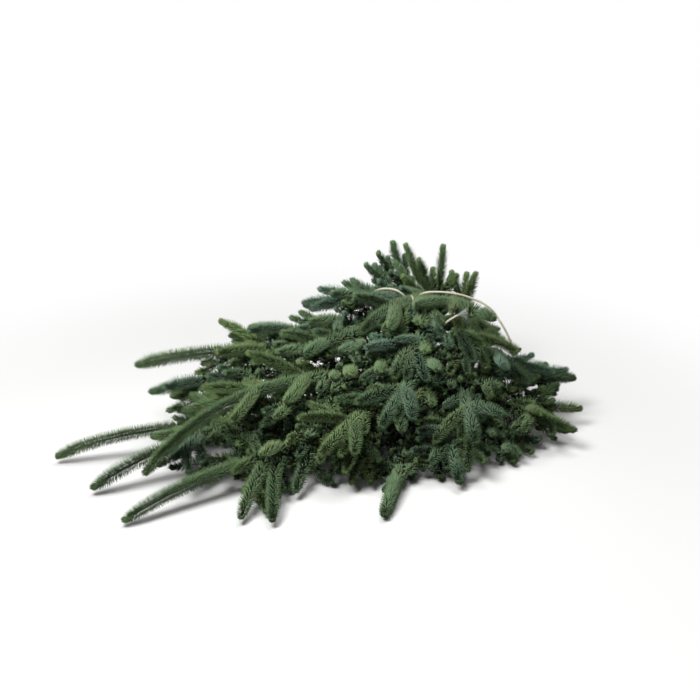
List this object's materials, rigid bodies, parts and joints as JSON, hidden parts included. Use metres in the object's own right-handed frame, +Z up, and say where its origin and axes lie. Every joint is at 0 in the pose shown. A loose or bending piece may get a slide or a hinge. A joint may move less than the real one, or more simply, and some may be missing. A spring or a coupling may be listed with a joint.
{
  "type": "bundle of noble fir branches",
  "caption": "Bundle of cut noble fir branches lying on its side, fanned out in front of the twine that ties their stems, with a frayed twine end.",
  "frame": {"origin": "middle of the floor area under the bundle, on the surface that it lies on", "axes": "+X to the right of the spread tips seen from the front, -Y towards the front tips, +Z up; the cut ends point towards +Y"},
  "size_m": [0.836, 0.612, 0.267],
  "materials": {
    "needles": "waxy fir needles, dark green with a blue-green bloom",
    "bark": "thin grey-brown fir bark, pale wood at the cut ends",
    "twine": "twisted cream-white twine, frayed at its loose end"
  },
  "bodies": {
    "root": {"branch_01_base": "needles", "branch_01_middle": "needles", "branch_01_tip": "needles", "branch_02_base": "needles", "branch_02_middle": "needles", "branch_02_tip": "needles", "branch_03_base": "needles", "branch_03_middle": "needles", "branch_03_tip": "needles", "branch_04_base": "needles", "branch_04_tip": "needles", "branch_05_base": "needles", "branch_05_tip": "needles", "branch_06_base": "needles", "branch_06_middle": "needles", "branch_06_tip": "needles", "branch_07_base": "needles", "branch_07_tip": "needles", "branch_08_base": "needles", "branch_08_tip": "needles", "branch_09_base": "needles", "branch_09_tip": "needles", "branch_10_base": "needles", "branch_10_middle": "needles", "branch_10_tip": "needles", "branch_11_base": "needles", "branch_11_middle": "needles", "branch_11_tip": "needles", "branch_12_base": "needles", "branch_12_tip": "needles", "branch_13_base": "needles", "branch_13_tip": "needles", "branch_14_base": "needles", "branch_14_tip": "needles", "branch_15_base": "needles", "branch_15_tip": "needles", "branch_16_base": "needles", "branch_16_tip": "needles", "branch_17_base": "needles", "branch_17_tip": "needles", "branch_18_base": "needles", "branch_18_tip": "needles", "branch_19_base": "needles", "branch_19_tip": "needles", "branch_20_base": "needles", "branch_20_tip": "needles", "branch_21_base": "needles", "branch_21_tip": "needles", "branch_22_base": "needles", "branch_22_tip": "needles", "branch_23_base": "needles", "branch_23_tip": "needles", "branch_24_base": "needles", "branch_24_tip": "needles", "branch_25_base": "needles", "branch_25_tip": "needles", "twine_fray": "twine", "twine_knot": "twine", "twine_loop": "twine", "twine_tail": "twine"}
  },
  "joints": []
}
